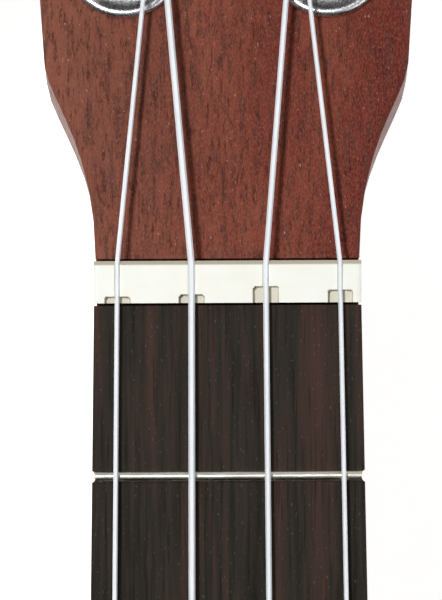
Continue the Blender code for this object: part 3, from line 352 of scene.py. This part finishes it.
def mahogany(name, axis, dark, middle, light, treble_shade=0.0):
    finish = Finish(name, shine=0.10)
    grain, pore = squeezed(axis, GRAIN_SQUEEZE), squeezed(axis, PORE_SQUEEZE)
    bands = finish.noise(scale=120, detail=3, stretch=grain)
    streaks = finish.noise(scale=900, detail=3, stretch=grain, rough=0.6)
    mood = bands * 0.6 + streaks * 0.4
    colour = finish.ramp(mood, (0.30, dark), (0.50, middle), (0.72, light))
    # Painted side light for the head: shade on the treble side, sheen on the bass side.
    if treble_shade:
        colour = paint_side_light(finish, colour, treble_shade)
    long_lines = squeezed(axis, LINE_SQUEEZE)
    lines = finish.patches(0.50, 0.60, scale=1500, stretch=long_lines, rough=0.7)
    pores = finish.patches(0.55, 0.68, scale=2300, stretch=pore)
    dust = finish.patches(0.42, 0.66, scale=7000, detail=2, stretch=FLECK_STRETCH)
    flecks = finish.patches(0.72, 0.80, scale=5200, detail=1, stretch=FLECK_STRETCH, rough=0.5)
    colour = finish.mix(lines * 0.62, colour, LINE_BROWN)
    colour = finish.mix(pores * 0.70, colour, PORE_BROWN)
    colour = finish.mix(dust * 0.36, colour, DUST_PINK)
    colour = finish.mix(flecks * 0.55, colour, FLECK_PINK)
    finish.set(Base_Color=colour, Roughness=0.46 + pores * 0.25 - streaks * 0.1)
    finish.bump(streaks * 0.35 - pores, WOOD_BUMP, strength=0.7)
    return finish.material


# The head takes painted shade on its treble side and a painted sheen on its bass side.
head_wood = mahogany(
    "head_mahogany", "Y", srgb(82, 30, 23), srgb(122, 56, 41), srgb(158, 92, 68), treble_shade=0.80
)
body_wood = mahogany(
    "body_mahogany", "Y", srgb(92, 42, 34), srgb(122, 62, 48), srgb(150, 90, 68)
)
print("mahogany nodes:", len(head_wood.node_tree.nodes), len(body_wood.node_tree.nodes))

# %% [markdown]
# The fingerboard is dull dark rosewood: nearly black, with faint green and red brown
# bands and fine open pores along the neck. The bridge is the same wood, a little
# warmer, with its grain across the body.

# %% Rosewood
BOARD_BUMP = 0.05 * MM
BOARD_DARK = srgb(30, 30, 26)
BOARD_MIDDLE = srgb(48, 43, 37)
BOARD_LIGHT = srgb(70, 50, 44)
BOARD_PORE = srgb(24, 21, 19)
BOARD_FLECK = srgb(132, 124, 114)
BOARD_WARM = srgb(92, 50, 34)


def rosewood(name, axis, warmth=0.0):
    finish = Finish(name, shine=0.06)
    grain, pore = squeezed(axis, GRAIN_SQUEEZE), squeezed(axis, PORE_SQUEEZE)
    bands = finish.noise(scale=300, detail=2, stretch=grain)
    streaks = finish.noise(scale=1400, detail=3, stretch=grain, rough=0.65)
    mood = bands * 0.55 + streaks * 0.45
    colour = finish.ramp(mood, (0.36, BOARD_DARK), (0.50, BOARD_MIDDLE), (0.66, BOARD_LIGHT))
    pores = finish.patches(0.56, 0.68, scale=2600, stretch=pore)
    flecks = finish.patches(0.68, 0.78, scale=5600, detail=1, stretch=FLECK_STRETCH, rough=0.5)
    colour = finish.mix(pores * 0.45, colour, BOARD_PORE)
    colour = finish.mix(flecks * 0.30, colour, BOARD_FLECK)
    colour = finish.mix(warmth, colour, BOARD_WARM)
    finish.set(Base_Color=colour, Roughness=0.62 + pores * 0.2 - streaks * 0.08)
    finish.bump(streaks * 0.3 - pores, BOARD_BUMP, strength=0.7)
    return finish.material


board_wood = rosewood("fingerboard_rosewood", "Y")
bridge_wood = rosewood("bridge_rosewood", "X", warmth=0.35)
print("rosewood nodes:", len(board_wood.node_tree.nodes))

# %% [markdown]
# Blocks, linings and braces inside the body are plain pale spruce. They are seen only
# through the soundhole, so fine lines across the body are enough.

# %% Inner wood
INNER_BUMP = 0.05 * MM
INNER_DARK = srgb(176, 138, 96)
INNER_PALE = srgb(214, 180, 136)


def pale_wood(name):
    finish = Finish(name)
    lines = finish.noise(scale=700, detail=3, stretch=squeezed("X", GRAIN_SQUEEZE), rough=0.6)
    colour = finish.ramp(lines, (0.3, INNER_DARK), (0.7, INNER_PALE))
    finish.set(Base_Color=colour, Roughness=0.7 - lines * 0.1)
    finish.bump(lines, INNER_BUMP, strength=0.5)
    return finish.material


inner_wood = pale_wood("inner_spruce")
print("inner wood nodes:", len(inner_wood.node_tree.nodes))

# %% [markdown]
# The nut and saddle are cream bone with almost no pattern: a faint cloudiness and fine scratches
# in the gloss. The strings are plain nylon, milky and bluish. The nut has painted shade in the
# bevel towards the head and on the floor of each pocket, which are laid over its colour by their
# places.

# %% Bone, nylon and pearl
SCRATCH_BUMP = 0.01 * MM
BONE_PALE, BONE_SHADED = srgb(247, 248, 239), srgb(244, 244, 232)
NYLON_PALE, NYLON_SHADED = srgb(244, 247, 251), srgb(236, 241, 245)
PEARL_PALE, PEARL_SHADED = srgb(240, 240, 236), srgb(198, 206, 208)
BEVEL_PAINTED_SHADE = srgb(176, 164, 142)
POCKET_PAINTED_SHADE = srgb(216, 208, 188)
BEVEL_SHADE_FROM_REAR = (0.58, 0.40)
POCKET_FROM_TOP = (0.75, 1.10)
POCKET_FROM_FRONT = (2.4, 2.2)


def paint_nut_shade(finish, colour):
    """Painted shade in the nut's rear bevel, and on the floor of each pocket."""
    y, z = finish.along("Y"), finish.along("Z")
    bevel_shade = finish.level(y, *(nut_high.y - reach * MM for reach in BEVEL_SHADE_FROM_REAR))
    deep = finish.level(z, *(nut_high.z - reach * MM for reach in POCKET_FROM_TOP))
    front = finish.level(y, *(nut_low.y + reach * MM for reach in POCKET_FROM_FRONT))
    # Painted shade: the rear bevel faces away from the lamp, so its cream is darkened here.
    colour = finish.mix(bevel_shade * 0.9, colour, BEVEL_PAINTED_SHADE)
    # Painted shade: the floor of each pocket, sunk below the top, is darkened here.
    return finish.mix(deep * front * 0.8, colour, POCKET_PAINTED_SHADE)


def cloudy(name, pale, shaded, roughness, scale, coat=0.0, painted_shade=None):
    finish = Finish(name, coat=coat)
    cloud = finish.noise(scale, detail=3)
    scratches = finish.noise(scale=5200, detail=2, stretch=(0.1, 1, 1))
    colour = finish.ramp(cloud, (0.35, shaded), (0.62, pale))
    # Painted shade, laid over the colour for the nut only.
    if painted_shade:
        colour = painted_shade(finish, colour)
    finish.set(Base_Color=colour, Roughness=roughness + scratches * 0.12)
    finish.bump(scratches, SCRATCH_BUMP, strength=0.4)
    return finish.material


bone = cloudy("cream_bone", BONE_PALE, BONE_SHADED, roughness=0.34, scale=260)
nylon = cloudy("clear_nylon", NYLON_PALE, NYLON_SHADED, roughness=0.30, scale=300)
# The nut's finish carries painted shade in its rear bevel and pocket floors.
nut_bone = cloudy(
    "nut_bone", BONE_PALE, BONE_SHADED, roughness=0.34, scale=260, painted_shade=paint_nut_shade
)
pearl = cloudy("dot_pearl", PEARL_PALE, PEARL_SHADED, roughness=0.18, scale=900, coat=0.3)
print("cloudy finishes:", [finish.name for finish in (bone, nylon, nut_bone, pearl)])

# %% [markdown]
# Each knob is an ivory plastic button moulded on a steel shaft with its worm. The solid
# is one piece, so its finish changes from steel to plastic at the button's inner end.

# %% Knobs
BUTTON_START = 28.4
BUTTON_EDGE = 0.1
BUTTON_BUMP = 0.02 * MM
IVORY_SHADED, IVORY_PALE = srgb(228, 220, 198), srgb(240, 234, 216)
SHAFT_STEEL = srgb(222, 222, 226)


def knob_finish(name):
    finish = Finish(name, shine=0.4)
    aside = abs(finish.along("X"))
    steel = finish.level(aside, BUTTON_START * MM, (BUTTON_START - BUTTON_EDGE) * MM)
    cloud = finish.noise(scale=200, detail=3)
    ivory = finish.ramp(cloud, (0.35, IVORY_SHADED), (0.62, IVORY_PALE))
    colour = finish.mix(steel, ivory, SHAFT_STEEL)
    roughness = 0.24 + cloud * 0.08 - steel * 0.06
    finish.set(Base_Color=colour, Metallic=steel, Roughness=roughness)
    finish.bump(cloud, BUTTON_BUMP, strength=0.3)
    return finish.material


button_plastic = knob_finish("ivory_button_on_steel")
print("buttons start", BUTTON_START, "mm from the middle")

# %% [markdown]
# Metal is told apart by its roughness: the chrome of the washers is bright but
# mottled, the frets are polished nickel silver with lines along their crown.

# %% Metals
METAL_BUMP = 0.03 * MM


def metal(name, colour, roughness, mottle, scale, stretch=(1, 1, 1)):
    finish = Finish(name, metallic=1.0)
    spots = finish.noise(scale, detail=4, stretch=stretch, rough=0.7)
    dull = (*(value * (1 - mottle) for value in colour[:3]), 1)
    finish.set(
        Base_Color=finish.ramp(spots, (0.38, dull), (0.58, colour)),
        Roughness=roughness + spots * 0.18,
    )
    finish.bump(spots, METAL_BUMP, strength=0.35)
    return finish.material


# The washers' dark mottle is partly cast grain and partly painted reflection of dark
# surroundings in the dish.
washer_chrome = metal(
    "washer_chrome", srgb(250, 250, 252), roughness=0.20, mottle=0.60, scale=4200
)
machine_chrome = metal(
    "machine_chrome", srgb(226, 226, 228), roughness=0.14, mottle=0.15, scale=500
)
fret_metal = metal(
    "fret_nickel", srgb(250, 246, 232), roughness=0.16, mottle=0.25, scale=3000,
    stretch=(0.1, 1, 1),
)
print("metals:", [finish.name for finish in (washer_chrome, machine_chrome, fret_metal)])

# %% [markdown]
# The ground in the photograph is blown out to white, so the floor gives off some light
# of its own, beside a faint unevenness.

# %% Floor finish
FLOOR_GLOW = 0.75
floor_finish = Finish("pale_floor", roughness=0.9)
uneven = floor_finish.noise(scale=40, detail=2)
floor_finish.set(
    Base_Color=floor_finish.ramp(uneven, (0.3, grey(0.88)), (0.7, grey(0.92))),
    Emission_Color=grey(1),
    Emission_Strength=FLOOR_GLOW,
)
floor.data.materials.append(floor_finish.material)
print("floor glow:", FLOOR_GLOW)

# %% [markdown]
# Each solid of the frame takes a finish by the start of its name. The first start that
# fits is taken, so bridge_plate and back_brace stand before bridge and back.

# %% Finishes for the solids
FINISH_OF = (
    ("neck_block", inner_wood), ("tail_block", inner_wood), ("lining_", inner_wood),
    ("top_brace", inner_wood), ("back_brace", inner_wood), ("bridge_plate", inner_wood),
    ("bridge", bridge_wood), ("neck", head_wood), ("soundboard", body_wood),
    ("back", body_wood), ("side_", body_wood), ("fingerboard", board_wood),
    ("nut", nut_bone), ("saddle", bone), ("string_", nylon), ("fret_", fret_metal),
    ("washer_", washer_chrome), ("bushing_", machine_chrome), ("post_", machine_chrome),
    ("plate_", machine_chrome), ("knob_", button_plastic),
)


def finish_for(name):
    return next(finish for start, finish in FINISH_OF if name.startswith(start))


for name, node in frame["nodes"].items():
    node.data.materials.clear()
    node.data.materials.append(finish_for(name))
print("finishes on", len(frame["nodes"]), "solids")

# %% [markdown]
# The solids are faceted, which is enough for collision. What is seen close up is made again here
# as a fine mesh. Each new piece is smooth up to a crease angle, rides on a body and takes its
# finish.

# %% Helper for new pieces
CREASE = math.radians(32)
SAME_PLACE = 0.000001


def add_piece(name, grid, finish, matrix=Matrix()):
    """Makes an object of a bmesh, which rides on the instrument."""
    bmesh.ops.remove_doubles(grid, verts=grid.verts, dist=SAME_PLACE)
    bmesh.ops.recalc_face_normals(grid, faces=grid.faces)
    mesh = bpy.data.meshes.new(name)
    grid.to_mesh(mesh)
    grid.free()
    mesh.transform(matrix)
    mesh.shade_smooth()
    mesh.set_sharp_from_angle(angle=CREASE)
    mesh.materials.append(finish)
    piece = bpy.data.objects.new(name, mesh)
    bpy.context.scene.collection.objects.link(piece)
    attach(piece, "instrument")
    return piece


print("crease angle:", round(math.degrees(CREASE)), "degrees")

# %% [markdown]
# Washers, bushings, screws, dots and the ring lines are all turned: a closed profile of
# radii and heights goes round an axis. A limit on the radius, which changes with the
# angle, cuts the same ring to a hexagon.

# %% Helper for turned pieces
SIXTH = math.pi / 3


def turned(profile, steps=96, apothem=None):
    """Turns a closed profile of (radius, height) round Z, cut to a hexagon if asked."""
    grid = bmesh.new()
    rings = []
    for step in range(steps):
        angle = 2 * math.pi * step / steps
        limit = apothem / math.cos(angle % SIXTH - SIXTH / 2) if apothem else math.inf
        ring = [(min(radius, limit), height) for radius, height in profile]
        rings.append([
            grid.verts.new((r * math.cos(angle), r * math.sin(angle), z)) for r, z in ring
        ])
    for first, second in zip(rings, rings[1:] + rings[:1]):
        for i in range(len(profile)):
            j = (i + 1) % len(profile)
            if profile[i][0] or profile[j][0]:
                grid.faces.new((first[i], second[i], second[j], first[j]))
    return grid


def above(x, y, z):
    """A matrix for a profile in millimetres whose axis stands at a place in metres."""
    return Matrix.Translation((x, y, z)) @ Matrix.Scale(MM, 4)


joints = {joint["name"]: joint for joint in frame["record"]["behaviour"]["joints"]}
post_axis = joints["post_turn_g"]["axis"]
HEAD_LEAN = math.atan2(post_axis[1], post_axis[2])


def post_frame(name):
    """The post's axis as a matrix: its foot on the head's face, and Z along it."""
    foot = Vector(joints["post_turn_" + name]["pos_m"])
    return Matrix.Translation(foot) @ Matrix.Rotation(-HEAD_LEAN, 4, "X") @ Matrix.Scale(MM, 4)


print("head leans by", round(math.degrees(HEAD_LEAN), 1), "degrees")

# %% [markdown]
# Each string post stands in a bushing with a hexagonal head, over a dished chrome
# washer with a bright bevelled rim. The post axes come from the joints of the record.
# The washer's radius is 0.35 mm larger than that of the solid, to come nearer to the
# photograph. The hexagon reaches down to the washer, where the solid leaves a gap.

# %% Washers and bushings
STRINGS = "gcea"
WASHER = [
    (4.35, 0.02), (7.30, 0.02), (7.35, 0.10), (7.35, 0.62), (7.25, 0.82), (7.00, 1.00),
    (6.70, 1.09), (6.40, 1.06), (6.18, 0.90), (5.80, 0.74), (5.30, 0.68), (4.35, 0.68),
]
BUSHING = [
    (3.2, -8.0), (4.1, -8.0), (4.1, 0.68), (6.3, 0.68), (6.3, 2.95), (5.75, 3.2),
    (5.1, 3.40), (3.5, 3.40), (3.2, 3.15),
]
HEX_APOTHEM = 5.1
for name in STRINGS:
    place = post_frame(name)
    washer = add_piece(
        f"dished_washer_{name}", turned(WASHER), washer_chrome, place
    )
    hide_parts(f"washer_{name}")
    hexagon = turned(BUSHING, apothem=HEX_APOTHEM)
    bushing = add_piece(
        f"hex_bushing_{name}", hexagon, machine_chrome, place
    )
    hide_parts(f"bushing_{name}")
print("washers and bushings:", 2 * len(STRINGS))

# %% [markdown]
# Two domed screws hold each tuning machine to the back of the head. Each is turned
# from the plate outwards, with a small cup for the driver and a shank in the wood.

# %% Plate screws
SCREW = [
    (0, -14.90), (0.45, -15.25), (0.80, -15.28), (1.50, -15.05), (1.88, -14.68),
    (1.90, -14.50), (1.00, -14.50), (1.00, -9.50), (0, -9.50),
]
SCREW_STATIONS = (-8.6, 15.2)
for name in STRINGS:
    for count, station in enumerate(SCREW_STATIONS):
        place = post_frame(name) @ Matrix.Translation((0, station, 0))
        screw = turned(SCREW, steps=32)
        add_piece(f"plate_screw_{name}_{count}", screw, machine_chrome, place)
print("plate screws:", len(STRINGS) * len(SCREW_STATIONS))

# %% [markdown]
# A fret is a rounded crown on a thin tang that is pressed into a sawn slot. Its ends
# are filed at a slant, flush with the edge of the fingerboard. The crown's arc is
# extruded across the board, and each end is drawn in by the height of its point.

# %% Frets
CROWN_HALF = 0.725
CROWN_RISE = 0.70
CROWN_SINK = 0.02
TANG_HALF = 0.25
TANG_DEPTH = 1.4
TANG = [
    (-CROWN_HALF, -CROWN_SINK), (-TANG_HALF, -CROWN_SINK), (-TANG_HALF, -TANG_DEPTH),
    (TANG_HALF, -TANG_DEPTH), (TANG_HALF, -CROWN_SINK),
]
END_SLANT = math.tan(math.radians(32))
ARC_STEPS = 14


def crown_profile():
    arc = [math.pi * i / ARC_STEPS for i in range(ARC_STEPS + 1)]
    return TANG + [(CROWN_HALF * math.cos(a), CROWN_RISE * math.sin(a)) for a in arc]


def fret_mesh(low, high):
    middle = (low.y + high.y) / 2
    grid = bmesh.new()
    ends = []
    for side, edge in ((-1, low.x), (1, high.x)):
        ends.append([
            grid.verts.new((
                edge - side * max(up, 0) * END_SLANT * MM, middle + along * MM,
                board_top + up * MM,
            ))
            for along, up in crown_profile()
        ])
    count = len(ends[0])
    for i in range(count):
        j = (i + 1) % count
        grid.faces.new((ends[0][i], ends[0][j], ends[1][j], ends[1][i]))
    for end in ends:
        grid.faces.new(end)
    return grid


fret_names = sorted(name for name in frame["nodes"] if name.startswith("fret_"))
for name in fret_names:
    wire = fret_mesh(*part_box(name))
    fret = add_piece(name.replace("fret", "fret_wire"), wire, fret_metal)
    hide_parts(name)
print("frets:", len(fret_names))

# %% [markdown]
# The nut is filed by hand. Each string lies in a round groove that just holds it, and
# in front of the groove a pocket of its own length moves the string's starting point
# back. The top is a fine grid, and each of its points takes the lowest of the cuts that
# reach it, so the grooves, pockets and rounded edges need no Boolean.

# %% Cuts of the nut
STRING_WIDTHS = (0.58, 0.82, 0.71, 0.565)
POCKETS = (0.77, 0.98, 1.98, 1.48)
GROOVE_PITCH = 9.15
GROOVE_SHIFT = 0.14
GROOVE_DEPTH = 0.32
GROOVE_ROOM = 0.04
MIDDLE_STRING = 1.5
POCKET_HALF = 1.55
POCKET_FLOOR = 1.2
POCKET_CORNER = 0.35
EDGE_ROUND = 0.35
REAR_BEVEL = 0.45


def rounded(distance, radius):
    """The drop of a rounded edge at a distance inside it."""
    if distance >= radius:
        return 0.0
    return radius - math.sqrt(max(radius**2 - (radius - distance) ** 2, 0))


def nut_drop(x, from_front, from_rear, from_end):
    """How far the nut's top lies below its highest level, in millimetres."""
    drop = max(rounded(from_end, EDGE_ROUND), REAR_BEVEL - from_rear, 0)
    for index, (width, pocket) in enumerate(zip(STRING_WIDTHS, POCKETS)):
        aside = abs(x - (index - MIDDLE_STRING) * GROOVE_PITCH - GROOVE_SHIFT)
        radius = width / 2 + GROOVE_ROOM
        if aside < radius:
            drop = max(drop, GROOVE_DEPTH - radius + math.sqrt(radius**2 - aside**2))
        past_side = max(aside - POCKET_HALF + POCKET_CORNER, 0)
        past_end = max(from_front - pocket + POCKET_CORNER, 0)
        if math.hypot(past_side, past_end) < POCKET_CORNER:
            drop = max(drop, POCKET_FLOOR)
    return drop


print("pocket lengths:", POCKETS, "mm")

# %% [markdown]
# The grid of the top is joined to a flat foot by a wall round its rim, which makes a
# closed piece with the height and width of the solid.

# %% Nut
GRID_STEP = 0.12


def steps_between(low, high):
    count = round((high - low) / (GRID_STEP * MM))
    return [low + (high - low) * i / count for i in range(count + 1)]


def nut_top(x, y, low, high):
    """The height of the nut's top at a place, all in metres."""
    drop = nut_drop(x / MM, (y - low.y) / MM, (high.y - y) / MM, (high.x - abs(x)) / MM)
    return high.z - MM * drop


def nut_mesh(low, high):
    grid = bmesh.new()
    rows = [
        [grid.verts.new((x, y, nut_top(x, y, low, high))) for x in steps_between(low.x, high.x)]
        for y in steps_between(low.y, high.y)
    ]
    for first, second in zip(rows, rows[1:]):
        for i in range(len(first) - 1):
            grid.faces.new((first[i], first[i + 1], second[i + 1], second[i]))
    rim = rows[0] + [row[-1] for row in rows[1:]]
    rim += rows[-1][-2::-1] + [row[0] for row in rows[-2:0:-1]]
    feet = [grid.verts.new((v.co.x, v.co.y, low.z)) for v in rim]
    for i in range(len(rim)):
        j = (i + 1) % len(rim)
        grid.faces.new((rim[i], feet[i], feet[j], rim[j]))
    grid.faces.new(feet)
    return grid


nut = add_piece("filed_nut", nut_mesh(nut_low, nut_high), nut_bone)
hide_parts("nut")
print("nut:", len(nut.data.polygons), "faces")

# %% [markdown]
# Small pearl dots show the player the fifth, seventh, tenth and twelfth frets. The
# photograph doesn't reach them, so they are plain ones that such instruments have.
# Each is a thin turned disk, halfway between two frets.

# %% Position dots
INLAY_RISE = 0.03
DOT_RADIUS = 2.6
DOT_DEPTH = 0.3
DOT_BEVEL = 0.1
DOT_EDGE = 0.01
DOT = [
    (0, -DOT_DEPTH), (DOT_RADIUS, -DOT_DEPTH), (DOT_RADIUS, DOT_EDGE),
    (DOT_RADIUS - DOT_BEVEL, INLAY_RISE), (0, INLAY_RISE),
]
TWELFTH_SPREAD = 7.0
DOTS_AT = {5: (0,), 7: (0,), 10: (0,), 12: (-TWELFTH_SPREAD, TWELFTH_SPREAD)}


def fret_line(number):
    low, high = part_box(f"fret_{number:02d}")
    return (low.y + high.y) / 2


for number, spots in DOTS_AT.items():
    y = (fret_line(number - 1) + fret_line(number)) / 2
    for count, x in enumerate(spots):
        place = above(x * MM, y, board_top)
        add_piece(f"dot_{number:02d}_{count}", turned(DOT, 40), pearl, place)
print("dots at frets:", list(DOTS_AT))

# %% [markdown]
# Two dark lines and a cream one are let into the soundboard round its hole. They too
# are out of the photograph, and plain. Each is a turned band, a little proud of the
# wood so that the faces don't flicker.

# %% Soundhole ring
HOLE_FROM_TOP = 87
RING_DEPTH = 0.5
RING_LINES = ((29.0, 30.0, bridge_wood), (30.0, 32.4, bone), (32.4, 33.4, bridge_wood))
top_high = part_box("soundboard")[1]
hole_y = top_high.y - HOLE_FROM_TOP * MM
for count, (inner, outer, finish) in enumerate(RING_LINES):
    line = [
        (inner, -RING_DEPTH), (outer, -RING_DEPTH), (outer, INLAY_RISE), (inner, INLAY_RISE)
    ]
    place = above(0, hole_y, top_high.z)
    add_piece(f"hole_ring_{count}", turned(line, steps=160), finish, place)
print("soundhole ring round y =", round(hole_y, 4))

# %% [markdown]
